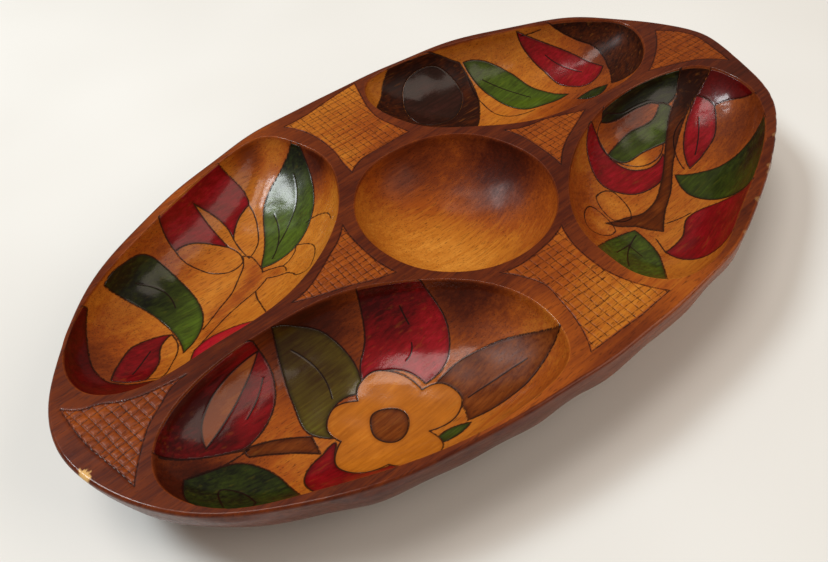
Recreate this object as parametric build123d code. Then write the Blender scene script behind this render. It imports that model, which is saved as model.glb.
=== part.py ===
from build123d import *
import math
import os

# Carved and painted divided serving dish: one block of hardwood with five wells,
# and the thin painted areas that lie on the walls and floors of the four long wells.
# Frame: +X along the dish, +Y across it, +Z up. The origin is under the middle of the foot.

# ---- driving dimensions, millimetres ----
HEIGHT = 50.0           # table to rim
FOOT_SCALE = 0.60       # foot outline as a share of the rim outline
EDGE_ROUND = 1.6        # worn outer edge of the rim
WELL_DEPTH = 30.0       # long wells, rim to floor
ROUND_RADIUS = 50.0     # round middle well
ROUND_DEPTH = 29.0
BOWL_POWER = 2.3        # how flat the floor of a well is
WALL_POWER = 0.62       # how steep its walls are
PAINT = 0.3             # thickness of a painted area with its varnish
HULL_SECTIONS = [(0.0, FOOT_SCALE), (4.0, 0.72), (11.0, 0.83), (21.0, 0.92), (31.0, 0.972), (40.0, 0.994)]
CLEAR_ABOVE = 4.0       # how far the cutters stand above the rim
BOWL_SHARES = [1.0, 0.992, 0.97, 0.93, 0.86, 0.76, 0.63, 0.47, 0.30, 0.14]  # loft sections

# Rim outline, anticlockwise from the +X end. It is a hand-cut oval, near 420 by 236.
RIM = [
    (210, 0), (204, 24), (190, 47), (172, 69), (146, 87), (104, 105), (52, 115), (0, 118),
    (-50, 117), (-90, 108), (-128, 95), (-164, 74), (-190, 47), (-205, 23), (-210, 0),
    (-204, -27), (-190, -51), (-166, -73), (-128, -94), (-78, -108), (-28, -116), (24, -118),
    (72, -114), (110, -102), (147, -86), (180, -64), (197, -37), (207, -13),
]

# Each long well: the point that its floor is centred on, then its outline.
LONG_WELLS = {
    "left": ((-108, 58), [
        (-190, 40), (-176, 60), (-142, 82), (-100, 99), (-58, 111), (-42, 110), (-32, 94),
        (-28, 74), (-36, 50), (-60, 24), (-97, 7), (-140, 5), (-176, 9), (-190, 22)]),
    "rear": ((100, 60), [
        (21, 75), (22, 94), (32, 109), (52, 112), (88, 105), (138, 86), (178, 57), (186, 42),
        (180, 25), (162, 10), (125, 4), (84, 12), (45, 36), (27, 56)]),
    "front": ((-106, -56), [
        (-187, -36), (-181, -22), (-157, -8), (-119, -4), (-80, -11), (-48, -31), (-27, -57),
        (-23, -82), (-33, -102), (-54, -107), (-105, -97), (-149, -78), (-180, -56)]),
    "right": ((104, -58), [
        (22, -81), (25, -63), (41, -39), (76, -15), (120, -4), (158, -8), (179, -20),
        (182, -42), (169, -64), (140, -83), (90, -102), (46, -112), (30, -106), (22, -92)]),
}

# Painted areas by well. An area is a run of smooth edges that meet at corners. Each edge
# starts where the one before it ends, and the last one ends where the first one starts.
# Edges that reach past the well's outline are trimmed by the well itself.
PAINTED = {
    "left": {
        "tulip_red": [
            [(-87, 94), (-86, 81)], [(-77, 89), (-67, 93)], [(-65, 100), (-71, 109)],
            [(-89, 107), (-109, 98)], [(-116, 92), (-116, 85)], [(-104, 86), (-91, 78)],
            [(-92, 88), (-94, 99)]],
        "tall_leaf_green": [
            [(-38, 95), (-58, 89), (-78, 64), (-87, 54)], [(-70, 50), (-47, 60), (-34, 79), (-30, 96)]],
        "low_leaf_green": [
            [(-145, 80), (-128, 84), (-122, 68), (-125, 49), (-145, 31)],
            [(-142, 51), (-146, 65), (-156, 74)]],
        "corner_dark_red": [
            [(-177, 53), (-181, 39), (-179, 31)], [(-172, 25), (-160, 18), (-152, 3)],
            [(-185, -2), (-205, 30)], [(-190, 58), (-168, 66)]],
        "bud_red": [
            [(-171, 41), (-159, 49), (-143, 47)], [(-150, 43), (-157, 32), (-166, 24)],
            [(-172, 27), (-178, 32)]],
        "foot_strip_red": [
            [(-134, 31), (-125, 30), (-114, 24), (-106, 6)], [(-120, 0), (-152, 3)], [(-148, 17), (-141, 28)]],
    },
    "rear": {
        "fruit_core_black": [
            [(56, 105), (70, 107), (86, 100), (89, 90), (77, 78), (60, 75), (47, 79), (46, 90), (52, 101)]],
        "fruit_brown": [
            [(43, 109), (58, 113), (81, 107), (97, 98)], [(97, 84), (90, 73)],
            [(60, 54), (31, 56), (20, 76), (39, 105)]],
        "leaf_green": [
            [(111, 92), (123, 79), (128, 59), (136, 41)], [(119, 46), (109, 51), (102, 76), (99, 97)]],
        "petal_red": [
            [(148, 77), (159, 61), (164, 38)], [(149, 36), (141, 47), (140, 68), (136, 87)]],
        "small_leaf_green": [[(144, 31), (151, 24)], [(142, 22), (135, 33)]],
        "end_brown": [
            [(166, 62), (171, 52), (166, 37)], [(159, 28), (152, 22)],
            [(170, 0), (200, 30), (176, 70), (152, 80)]],
    },
    "right": {
        "wall_leaf_green": [
            [(115, -9), (125, -9), (138, -10), (146, -12), (151, -16)], [(160, -17), (170, -10)],
            [(160, 2), (135, 6), (104, -8)]],
        "wrap_leaf_green": [
            [(101, -25), (121, -28), (136, -31)], [(147, -25), (155, -19)], [(153, -16), (150, -14)],
            [(143, -17), (121, -16), (97, -20)]],
        "crescent_red": [
            [(82, -17), (78, -30), (88, -42), (103, -47), (120, -44), (129, -35)],
            [(112, -36), (100, -27), (97, -12)], [(94, -8), (91, -9)]],
        "stem_brown": [
            [(168, -25), (150, -31), (128, -43), (110, -55), (92, -64), (80, -72)], [(76, -66), (72, -60)],
            [(66, -57), (58, -51)],
            [(72, -53), (84, -56), (94, -55), (114, -46), (138, -30), (150, -22), (162, -17)],
            [(170, -12), (180, -12)], [(186, -18), (181, -24)]],
        "pink_petal_red": [
            [(165, -43), (156, -49), (147, -51), (131, -52)], [(138, -43), (153, -32), (170, -25)],
            [(172, -31), (171, -37)]],
        "top_dark_red": [
            [(175, -41), (177, -50), (173, -66)], [(192, -60), (196, -25), (184, -20)],
            [(176, -24), (170, -25)], [(172, -31), (171, -37)]],
        "crescent_green": [
            [(131, -58), (142, -67), (154, -70), (170, -67)], [(160, -90), (116, -100)],
            [(113, -84), (114, -62), (122, -49)]],
        "low_petal_red": [
            [(112, -86), (104, -77), (98, -75), (81, -82), (66, -83)],
            [(64, -94), (71, -106), (90, -106), (113, -98)]],
        "low_leaf_green": [
            [(47, -61), (21, -71)], [(16, -85), (28, -106)], [(52, -91), (64, -78), (69, -62)]],
    },
    "front": {
        "left_petal_red": [
            [(-123, -11), (-126, -18), (-141, -30), (-152, -33)], [(-164, -30), (-183, -24)],
            [(-178, -6), (-148, 0), (-124, -4)]],
        "dark_leaf_green": [
            [(-167, -35), (-158, -37), (-150, -47), (-148, -62), (-150, -84)],
            [(-166, -80), (-180, -58)], [(-183, -46), (-179, -35)]],
        "root_red": [
            [(-121, -53), (-126, -59), (-127, -68), (-109, -81)], [(-112, -98), (-128, -96)],
            [(-142, -76), (-142, -60), (-129, -54)]],
        "centre_leaf_green": [
            [(-106, -6), (-95, -13), (-91, -25), (-97, -42)], [(-107, -38), (-116, -42), (-120, -51)],
            [(-127, -42), (-124, -27), (-114, -4)]],
        "upper_petal_red": [
            [(-81, -25), (-91, -33), (-95, -42)], [(-84, -40), (-76, -48), (-74, -58)],
            [(-60, -57), (-49, -45), (-50, -28)], [(-58, -14), (-72, -6)]],
        "flower_core_brown": [
            [(-101, -53), (-94, -55), (-90, -63), (-94, -69), (-102, -71), (-107, -63), (-105, -57)]],
        "flower_yellow": [
            [(-98, -39), (-88, -37), (-79, -46), (-77, -59)], [(-69, -63), (-68, -75), (-76, -80), (-89, -77)],
            [(-91, -88), (-104, -93), (-113, -79)], [(-124, -74), (-128, -63), (-119, -54)],
            [(-120, -46), (-111, -39), (-101, -43)]],
        "bract_green": [[(-83, -83), (-75, -88)], [(-84, -89), (-95, -84)]],
        "leaf_brown": [
            [(-59, -61), (-41, -68), (-24, -90)], [(-45, -93), (-75, -86)], [(-70, -75), (-74, -62)]],
        "stem_brown": [[(-144, -35), (-127, -44)], [(-128, -49), (-129, -53)], [(-143, -42), (-153, -37)],
                       [(-153, -34), (-152, -33)]],
    },
}

# An area painted over a larger one is cut out of it.
PAINTED_OVER = {
    ("rear", "fruit_brown"): ["fruit_core_black", "leaf_green"],
    ("front", "flower_yellow"): ["flower_core_brown"],
    ("front", "centre_leaf_green"): ["flower_yellow"],
    ("front", "upper_petal_red"): ["flower_yellow", "centre_leaf_green"],
    ("front", "root_red"): ["flower_yellow"],
    ("front", "leaf_brown"): ["flower_yellow"],
    ("front", "bract_green"): ["flower_yellow"],
    ("right", "crescent_red"): ["stem_brown"],
    ("right", "low_leaf_green"): ["stem_brown"],
    ("right", "wrap_leaf_green"): ["stem_brown"],
    ("right", "wall_leaf_green"): ["wrap_leaf_green", "stem_brown"],
    ("right", "pink_petal_red"): ["stem_brown"],
    ("right", "top_dark_red"): ["stem_brown"],
    ("right", "low_petal_red"): ["crescent_green"],
    ("left", "corner_dark_red"): ["bud_red"],
}


def well_depth(depth, share):
    """Depth below the rim at a share of the way from a well's centre to its outline."""
    return depth * (1 - share ** BOWL_POWER) ** WALL_POWER


def scaled(points, centre, share, level):
    """A closed smooth wire through the points, drawn in towards the centre, at a level."""
    moved = [(centre[0] + (x - centre[0]) * share, centre[1] + (y - centre[1]) * share, level)
             for x, y in points]
    return Wire([Spline(*moved, periodic=True)])


def rounded_block():
    """The block before the wells: upright by the rim, then turning under to a flat foot."""
    sections = [Face(scaled(RIM, (0, 0), share, level)) for level, share in HULL_SECTIONS]
    shoulder = HEIGHT - EDGE_ROUND
    rim_top = Face(scaled(RIM, (0, 0), 1.0 - EDGE_ROUND / RIM[0][0], HEIGHT))
    rim_foot = Face(scaled(RIM, (0, 0), 1.0, shoulder))
    return loft(sections + [rim_foot]).fuse(loft([rim_foot, rim_top], ruled=True))


def bowl(outline, centre, depth, thickness=0.0):
    """The space inside a well up to the rim, less a lining of the given thickness."""
    reach = sum(math.dist(p, centre) for p in outline) / len(outline)
    shrink = 1 - thickness / reach
    sections = []
    for share in BOWL_SHARES:
        level = HEIGHT - well_depth(depth - thickness, share)
        sections.append(Face(scaled(outline, centre, share * shrink, level)))
    return loft(sections)


def cutter(outline, centre, depth, thickness=0.0):
    """The same space carried straight up through the rim, to cut with."""
    hollow = bowl(outline, centre, depth, thickness)
    mouth = max(hollow.faces(), key=lambda face: face.center().Z)
    return hollow.fuse(extrude(mouth, CLEAR_ABOVE, dir=(0, 0, 1)))


def area_outline(edges):
    """The closed outline of a painted area, from its smooth edges."""
    if len(edges) == 1:
        return Wire([Spline(*edges[0], periodic=True)])
    start = edges[-1][-1]
    curves = []
    for edge in edges:
        points = [start] + edge
        curves.append(Line(*points) if len(points) == 2 else Spline(*points))
        start = edge[-1]
    return Wire(curves)


def area_prism(edges):
    """An upright prism over a painted area, taller than the dish."""
    return extrude(Face(area_outline(edges)), HEIGHT + CLEAR_ABOVE, dir=(0, 0, 1))


def painted_area(well, name, lining):
    """One painted area: the part of the well's lining that lies under its prism."""
    prism = area_prism(PAINTED[well][name])
    for over in PAINTED_OVER.get((well, name), []):
        prism = prism.cut(area_prism(PAINTED[well][over]))
    return max(lining.intersect(prism), key=lambda solid: solid.volume)


def ring_points(radius, count=12):
    """Points round a circle about the origin, for the round well's outline."""
    angles = [math.tau * i / count for i in range(count)]
    return [(radius * math.cos(a), radius * math.sin(a)) for a in angles]


def main():
    """Builds every node and writes one STEP file for each."""
    os.makedirs("parts", exist_ok=True)
    dish = rounded_block().cut(cutter(ring_points(ROUND_RADIUS), (0, 0), ROUND_DEPTH))
    nodes = {}
    for well, (centre, outline) in LONG_WELLS.items():
        dish = dish.cut(cutter(outline, centre, WELL_DEPTH))
        lining = bowl(outline, centre, WELL_DEPTH).cut(cutter(outline, centre, WELL_DEPTH, PAINT))
        for name in PAINTED[well]:
            nodes[f"{well}_{name}"] = painted_area(well, name, lining)
    nodes["dish"] = dish
    for name, shape in nodes.items():
        export_step(shape, f"parts/{name}.step")
        print(name, round(shape.volume, 1))


main()
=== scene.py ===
"""Carved, painted and varnished hardwood serving dish with five wells.

The dish is one block of wood. Its wall and foot, its flat lands with their cross-hatched panels, and its five
wells are built as touching surfaces, and each painted area is a thin film that lies on the floor or wall of a
well. Sizes in this file are millimetres in the part's own frame until a mesh is made, which is in metres.
"""
import logging
import math
from dataclasses import dataclass, field
from enum import Enum
from functools import partial

import bpy
import numpy as np
from mathutils import Matrix, Vector


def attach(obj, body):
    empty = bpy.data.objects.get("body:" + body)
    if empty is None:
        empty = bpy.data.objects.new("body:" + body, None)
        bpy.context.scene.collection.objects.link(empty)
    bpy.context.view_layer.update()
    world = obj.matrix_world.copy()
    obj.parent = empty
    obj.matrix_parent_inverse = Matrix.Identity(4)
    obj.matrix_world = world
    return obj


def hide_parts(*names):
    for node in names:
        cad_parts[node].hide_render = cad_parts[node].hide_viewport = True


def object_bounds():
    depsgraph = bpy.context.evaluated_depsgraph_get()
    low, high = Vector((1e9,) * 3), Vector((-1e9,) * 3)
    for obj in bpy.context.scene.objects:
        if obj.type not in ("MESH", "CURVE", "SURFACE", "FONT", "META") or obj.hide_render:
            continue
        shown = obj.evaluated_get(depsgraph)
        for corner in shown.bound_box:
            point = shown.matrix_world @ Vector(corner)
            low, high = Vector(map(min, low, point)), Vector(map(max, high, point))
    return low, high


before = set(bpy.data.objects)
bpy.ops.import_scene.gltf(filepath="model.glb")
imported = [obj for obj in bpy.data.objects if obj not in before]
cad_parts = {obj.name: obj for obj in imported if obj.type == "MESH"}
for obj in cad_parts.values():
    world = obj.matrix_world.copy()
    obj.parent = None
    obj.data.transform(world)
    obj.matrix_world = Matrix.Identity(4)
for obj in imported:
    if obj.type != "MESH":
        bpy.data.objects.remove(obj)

LOG = logging.getLogger("dish")
MM = 0.001
SEED = 7

Array = np.ndarray
Point = tuple[float, float]
Edges = list[list[Point]]
Socket = bpy.types.NodeSocket

CAD_LOW, CAD_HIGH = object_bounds()
RIM_HEIGHT = CAD_HIGH.z / MM

BOWL_POWER = 2.3        # how flat the floor of a well is
WALL_POWER = 0.62       # how steep its walls are
LIP_SHARE = 0.985       # where a well's wall turns into its rounded lip
LIP_WIDTH = 0.8         # how far the rounded lip reaches over the land
EDGE_ROUND = 1.6        # worn outer edge of the rim
FAR = 6.0               # distances to a cut line are not followed further than this
FILM_INSET = 0.20       # a painted film stops this far inside its outline
FILM_TOP = 1.0          # and this far below the rim
FILM_LIFT = 0.05        # its top stands this far above the wood
FILM_THICKNESS = 0.30   # and its underside lies this far below its top
TUCK = 0.9              # a well's lip runs this far on under the land
TUCK_DROP = 0.08        # and dips by this much

# Hull profile from the foot up: height, and share of the rim outline.
HULL_SECTIONS = [(0.0, 0.60), (4.0, 0.72), (11.0, 0.83), (21.0, 0.92), (31.0, 0.972), (40.0, 0.994), (48.4, 1.0)]

FOOT_RINGS = (0.56, 0.50, 0.40, 0.25, 0.10)     # shares of the rim outline where the flat foot has its rings
EDGE_TURNS = (90, 74, 56, 38, 20, 6)            # degrees round the worn outer edge, from its top

# Rim outline, anticlockwise from the +X end.
RIM: list[Point] = [
    (210, 0), (204, 24), (190, 47), (172, 69), (146, 87), (104, 105), (52, 115), (0, 118),
    (-50, 117), (-90, 108), (-128, 95), (-164, 74), (-190, 47), (-205, 23), (-210, 0),
    (-204, -27), (-190, -51), (-166, -73), (-128, -94), (-78, -108), (-28, -116), (24, -118),
    (72, -114), (110, -102), (147, -86), (180, -64), (197, -37), (207, -13),
]


class Paint(Enum):
    """The colours laid into the carved motifs; each value is the record's material slot."""

    RED = "red_paint"
    DARK_RED = "dark_red_paint"
    GREEN = "green_paint"
    YELLOW = "yellow_paint"
    BROWN = "brown_paint"
    BLACK = "black_paint"


# ---------------------------------------------------------------- curves and fields


def closed_curve(points: list[Point], count: int) -> Array:
    """A smooth closed curve through the points, even in curvature all the way round.

    Args:
        points: The points in order.
        count: How many samples to return.

    Returns:
        The samples as a count by 2 array.
    """
    p = np.array(points, float)
    n = len(p)
    step = np.linalg.norm(np.roll(p, -1, 0) - p, axis=1)
    system, right = np.zeros((n, n)), np.zeros((n, 2))
    for i in range(n):
        before, after = step[i - 1], step[i]
        system[i, (i - 1) % n] += after
        system[i, i] += 2 * (before + after)
        system[i, (i + 1) % n] += before
        right[i] = 3 * (after * (p[i] - p[i - 1]) / before + before * (p[(i + 1) % n] - p[i]) / after)
    slope = np.linalg.solve(system, right)
    return hermite(np.vstack([p, p[:1]]), np.vstack([slope, slope[:1]]), step, count, False)


def open_curve(points: list[Point], count: int) -> Array:
    """A smooth open curve through the points, or a straight line through two of them.

    Args:
        points: The points in order.
        count: How many samples to return, both ends among them.

    Returns:
        The samples as a count by 2 array.
    """
    p = np.array(points, float)
    step = np.linalg.norm(np.diff(p, axis=0), axis=1)
    rate = np.diff(p, axis=0) / step[:, None]
    if len(p) == 2:
        return p[0] + np.linspace(0, 1, count)[:, None] * (p[1] - p[0])
    slope = np.zeros_like(p)
    before, after = step[:-1, None], step[1:, None]
    slope[1:-1] = (after * rate[:-1] + before * rate[1:]) / (before + after)
    slope[0] = 2 * rate[0] - slope[1]
    slope[-1] = 2 * rate[-1] - slope[-2]
    return hermite(p, slope, step, count, True)


def hermite(p: Array, slope: Array, step: Array, count: int, with_end: bool) -> Array:
    """Samples cubic pieces that have the given points and slopes.

    Args:
        p: Points, one more than there are steps.
        slope: The slope at each point.
        step: The length given to each piece.
        count: How many samples to return.
        with_end: Whether the last sample is the last point.

    Returns:
        The samples as a count by 2 array.
    """
    knots = np.concatenate([[0], np.cumsum(step)])
    t = np.linspace(0, knots[-1], count, endpoint=with_end)
    k = np.clip(np.searchsorted(knots, t, side="right") - 1, 0, len(step) - 1)
    h = step[k][:, None]
    x = (t - knots[k])[:, None] / h
    return ((2 * x**3 - 3 * x**2 + 1) * p[k] + (x**3 - 2 * x**2 + x) * h * slope[k]
            + (-2 * x**3 + 3 * x**2) * p[k + 1] + (x**3 - x**2) * h * slope[k + 1])


def closed_path(edges: Edges, spacing: float = 0.9) -> Array:
    """The closed outline of a run of smooth edges that meet at corners.

    Args:
        edges: Each edge's points after the corner where the edge before it ends.
        spacing: Distance between samples, in millimetres.

    Returns:
        A closed polyline, its first point repeated at its end.
    """
    start, pieces = edges[-1][-1], []
    if len(edges) == 1:
        ring = closed_curve(edges[0], 90)
        return np.vstack([ring, ring[:1]])
    for edge in edges:
        pieces.append(smooth_path([start] + edge, spacing)[:-1])
        start = edge[-1]
    return np.vstack(pieces + [pieces[0][:1]])


def smooth_path(points: list[Point], spacing: float = 0.9) -> Array:
    """An open smooth polyline through the points, sampled at about the given spacing."""
    length = np.linalg.norm(np.diff(np.array(points, float), axis=0), axis=1).sum()
    return open_curve(points, max(3, int(length / spacing) + 1))


def by_direction(away: Array) -> tuple[Array, Array]:
    """A table of an outline's distance from a centre against direction, for np.interp.

    Args:
        away: The outline's points seen from the centre.

    Returns:
        Directions, a full turn more at each end, and distances.
    """
    turn = np.arctan2(away[:, 1], away[:, 0])
    order = np.argsort(turn)
    turns = np.concatenate([turn[order] - math.tau, turn[order], turn[order] + math.tau])
    return turns, np.tile(np.linalg.norm(away, axis=1)[order], 3)


def inside(points: Array, polygon: Array) -> Array:
    """Whether each point of the plan is inside a closed polyline.

    Args:
        points: Points of the plan.
        polygon: The closed polyline, its first point repeated at its end.

    Returns:
        A Boolean for each point.
    """
    x, y = points[:, 0], points[:, 1]
    found = np.zeros(len(points), bool)
    for (x0, y0), (x1, y1) in zip(polygon[:-1], polygon[1:]):
        if y0 != y1:
            crosses = (y0 > y) != (y1 > y)
            found ^= crosses & (x < x0 + (y - y0) * (x1 - x0) / (y1 - y0))
    return found


def distance_to(points: Array, path: Array) -> Array:
    """Shortest distance from each point to a polyline, in the plan or in space, up to FAR.

    Args:
        points: The points, n by 2 or n by 3.
        path: The polyline, with as many columns.

    Returns:
        One distance for each point.
    """
    found = np.full(len(points), FAR)
    near = np.all((points > path.min(0) - FAR) & (points < path.max(0) + FAR), axis=1)
    rows = np.flatnonzero(near)
    start, along = path[:-1], np.diff(path, axis=0)
    square = np.maximum((along**2).sum(1), 1e-12)
    for chunk in np.array_split(rows, max(1, len(rows) // 3000 + 1)):
        away = points[chunk][:, None, :] - start
        t = np.clip((away * along).sum(2) / square, 0, 1)
        gap = away - t[:, :, None] * along
        found[chunk] = np.minimum(np.sqrt((gap**2).sum(2).min(1)), FAR)
    return found


def smoothstep(value: Array, low: float, high: float) -> Array:
    """0 below low, 1 above high, and a smooth rise between them."""
    t = np.clip((value - low) / (high - low), 0, 1)
    return t * t * (3 - 2 * t)


@dataclass(frozen=True)
class Wobble:
    """A gentle seeded unevenness over the plan or in space, as a hand tool leaves."""

    seed: int
    wavelength: float
    height: float
    waves: int = 14

    def at(self, points: Array) -> Array:
        """Height of the unevenness at each point.

        Args:
            points: Points of the plan, or of space.

        Returns:
            One height for each point, in millimetres.
        """
        rng = np.random.default_rng(self.seed)
        total = np.zeros(len(points))
        for _ in range(self.waves):
            turn, phase = rng.uniform(0, math.tau, 2)
            pitch = math.tau / (self.wavelength * rng.uniform(0.7, 1.6))
            along = np.array([math.cos(turn), math.sin(turn), rng.uniform(-1, 1)]) * pitch
            total += np.sin(points @ along[:points.shape[1]] + phase)
        return total * self.height / math.sqrt(self.waves / 2)


@dataclass(frozen=True)
class Spot:
    """A soft lighter (below 0) or darker (above 0) patch: uneven stain in places, painted light and shade in
    others.
    """

    x: float
    y: float
    reach: float
    amount: float


def stain(xy: Array, base: float, spots: list[Spot]) -> Array:
    """Tone at each point of the plan, from 0 (golden) to 1 (near black): stain with painted light and shade.

    Args:
        xy: Points of the plan.
        base: Tone where there is no spot.
        spots: Soft patches added to it.

    Returns:
        One tone for each point.
    """
    tone = np.full(len(xy), base)
    for s in spots:
        tone += s.amount * np.exp(-((xy[:, 0] - s.x) ** 2 + (xy[:, 1] - s.y) ** 2) / s.reach**2)
    return np.clip(tone, 0, 1)


LAND_WAVES = Wobble(SEED, 60.0, 0.30)
GOUGE_WAVES = Wobble(SEED + 1, 15.0, 0.10)
HULL_WAVES = Wobble(SEED + 2, 38.0, 0.45)


# ---------------------------------------------------------------- meshes


def corner_normals(points: Array, triangles: Array) -> Array:
    """Unit normal at each point of a triangle mesh, weighted by area.

    Args:
        points: The mesh's points.
        triangles: Three point numbers for each triangle.

    Returns:
        One unit vector for each point.
    """
    a, b, c = (points[triangles[:, i]] for i in range(3))
    normal = np.cross(b - a, c - a)
    total = np.zeros_like(points)
    for i in range(3):
        for axis in range(3):
            total[:, axis] += np.bincount(triangles[:, i], normal[:, axis], len(points))
    return total / np.maximum(np.linalg.norm(total, axis=1), 1e-12)[:, None]


def cut_along(table: Array, triangles: Array, height: Array) -> tuple[Array, Array]:
    """Cuts a triangle mesh where height is 0 and keeps what is above.

    Args:
        table: One row of values for each point, its place among them.
        triangles: Three point numbers for each triangle.
        height: One value for each point.

    Returns:
        The new table, with rows interpolated along the cut, and the new triangles.
    """
    above = height > 0
    count = above[triangles].sum(1)
    kept = triangles[count == 3]
    one, two = triangles[count == 1], triangles[count == 2]
    one_turn = np.argmax(above[one], axis=1)
    two_turn = np.argmin(above[two], axis=1)
    one = np.stack([one[np.arange(len(one)), (one_turn + i) % 3] for i in range(3)], 1)
    two = np.stack([two[np.arange(len(two)), (two_turn + i) % 3] for i in range(3)], 1)
    crossing = np.vstack([one[:, [0, 1]], one[:, [0, 2]], two[:, [0, 1]], two[:, [0, 2]]])
    pairs, number = np.unique(np.sort(crossing, axis=1), axis=0, return_inverse=True)
    number = number.ravel() + len(table)
    h0, h1 = height[pairs[:, 0]], height[pairs[:, 1]]
    t = (h0 / (h0 - h1))[:, None]
    table = np.vstack([table, table[pairs[:, 0]] * (1 - t) + table[pairs[:, 1]] * t])
    n1, n2 = len(one), len(two)
    one_b, one_c = number[:n1], number[n1:2 * n1]
    two_b, two_c = number[2 * n1:2 * n1 + n2], number[2 * n1 + n2:]
    triangles = np.vstack([
        kept, np.stack([one[:, 0], one_b, one_c], 1),
        np.stack([two_b, two[:, 1], two[:, 2]], 1), np.stack([two_b, two[:, 2], two_c], 1)])
    used, compact = np.unique(triangles, return_inverse=True)
    return table[used], compact.reshape(-1, 3)


def ring_faces(rings: int, columns: int) -> Array:
    """Triangles between closed rings of points, numbered ring by ring, facing up for rings that widen.

    Args:
        rings: How many rings there are.
        columns: How many points each ring has.

    Returns:
        Three point numbers for each triangle.
    """
    k, j = np.meshgrid(np.arange(rings - 1), np.arange(columns), indexing="ij")
    a = (k * columns + j).ravel()
    b = (k * columns + (j + 1) % columns).ravel()
    c, d = a + columns, b + columns
    return np.vstack([np.stack([a, c, d], 1), np.stack([a, d, b], 1)])


def plan_grid(low: Array, high: Array, cell: float) -> tuple[Array, Array]:
    """A level grid of triangles over a rectangle of the plan.

    Args:
        low: The rectangle's lowest X and Y.
        high: Its highest X and Y.
        cell: Distance between points, in millimetres.

    Returns:
        Points of the plan, and three point numbers for each triangle.
    """
    gx, gy = np.meshgrid(np.arange(low[0], high[0], cell), np.arange(low[1], high[1], cell), indexing="ij")
    number = np.arange(gx.size).reshape(gx.shape)
    a, b = number[:-1, :-1].ravel(), number[1:, :-1].ravel()
    c, d = number[1:, 1:].ravel(), number[:-1, 1:].ravel()
    return np.column_stack([gx.ravel(), gy.ravel()]), np.vstack([np.stack([a, b, c], 1), np.stack([a, c, d], 1)])


def close_film(table: Array, triangles: Array, lift: float, thickness: float) -> tuple[Array, Array]:
    """Turns an open patch into a thin closed solid.

    Args:
        table: Place and unit normal of each point in its first six columns.
        triangles: The patch.
        lift: How far its top stands above the patch.
        thickness: How far its underside is below its top.

    Returns:
        The table for both sides, and the triangles of top, underside and edge.
    """
    top, under = table.copy(), table.copy()
    top[:, :3] += lift * table[:, 3:6]
    under[:, :3] += (lift - thickness) * table[:, 3:6]
    n = len(table)
    edges = np.vstack([triangles[:, [0, 1]], triangles[:, [1, 2]], triangles[:, [2, 0]]])
    codes = edges[:, 0].astype(np.int64) * n + edges[:, 1]
    back = edges[:, 1].astype(np.int64) * n + edges[:, 0]
    a, b = edges[~np.isin(codes, back)].T
    sides = np.vstack([np.stack([b, a, a + n], 1), np.stack([b, a + n, b + n], 1)])
    return np.vstack([top, under]), np.vstack([triangles, triangles[:, ::-1] + n, sides])


def make_piece(name: str, points: Array, triangles: Array, material: bpy.types.Material,
               values: dict[str, Array]) -> bpy.types.Object:
    """Makes a smooth mesh object that rides on the dish's body.

    Args:
        name: The piece's name.
        points: Places in millimetres.
        triangles: Three point numbers for each triangle.
        material: Its finish.
        values: Named numbers at the points, for the finish to read.

    Returns:
        The object.
    """
    mesh = bpy.data.meshes.new(name)
    mesh.vertices.add(len(points))
    mesh.vertices.foreach_set("co", (points * MM).astype(np.float32).ravel())
    mesh.loops.add(triangles.size)
    mesh.loops.foreach_set("vertex_index", triangles.astype(np.int32).ravel())
    mesh.polygons.add(len(triangles))
    mesh.polygons.foreach_set("loop_start", np.arange(0, triangles.size, 3, dtype=np.int32))
    mesh.polygons.foreach_set("use_smooth", np.ones(len(triangles), bool))
    for key, column in values.items():
        layer = mesh.attributes.new(key, "FLOAT", "POINT")
        layer.data.foreach_set("value", column.astype(np.float32))
    mesh.update(calc_edges=True)
    mesh.validate()
    mesh.materials.append(material)
    piece = bpy.data.objects.new(name, mesh)
    bpy.context.scene.collection.objects.link(piece)
    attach(piece, "root")
    LOG.info("%s: %d triangles", name, len(triangles))
    return piece


# ---------------------------------------------------------------- finishes


def linear(code: str) -> tuple[float, float, float, float]:
    """The linear colour of an sRGB hex code such as "8a4a1c".

    Args:
        code: Six hex digits.

    Returns:
        Red, green, blue and an alpha of 1.
    """
    parts = [int(code[i:i + 2], 16) / 255 for i in (0, 2, 4)]
    red, green, blue = [v / 12.92 if v <= 0.04045 else ((v + 0.055) / 1.055) ** 2.4 for v in parts]
    return red, green, blue, 1.0


def add(material: bpy.types.Material, kind: str, settings: dict[str, object] | None = None,
        inputs: dict[str | int, object] | None = None, out: str | int = 0) -> Socket:
    """Adds a node to a material with its settings and links.

    Args:
        material: The material.
        kind: The node's type name without the ShaderNode prefix.
        settings: Attributes to set on the node; stops are a ramp's places and hex colours.
        inputs: Values, hex colours or output sockets for its inputs, by name or number.
        out: Which output to return.

    Returns:
        The output socket.
    """
    tree = material.node_tree
    node = tree.nodes.new("ShaderNode" + kind)
    for key, value in (settings or {}).items():
        if key != "stops":
            setattr(node, key, value)
            continue
        ramp = node.color_ramp.elements
        for place, code in value[2:]:
            ramp.new(place)
        for stop, (place, code) in zip(ramp, value):
            stop.position, stop.color = place, linear(code)
    for key, value in (inputs or {}).items():
        if isinstance(value, bpy.types.NodeSocket):
            tree.links.new(value, node.inputs[key])
        else:
            node.inputs[key].default_value = linear(value) if isinstance(value, str) else value
    return node.outputs[out]


RGB = {"data_type": "RGBA"}
SMOOTH = {"interpolation_type": "SMOOTHSTEP"}


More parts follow.
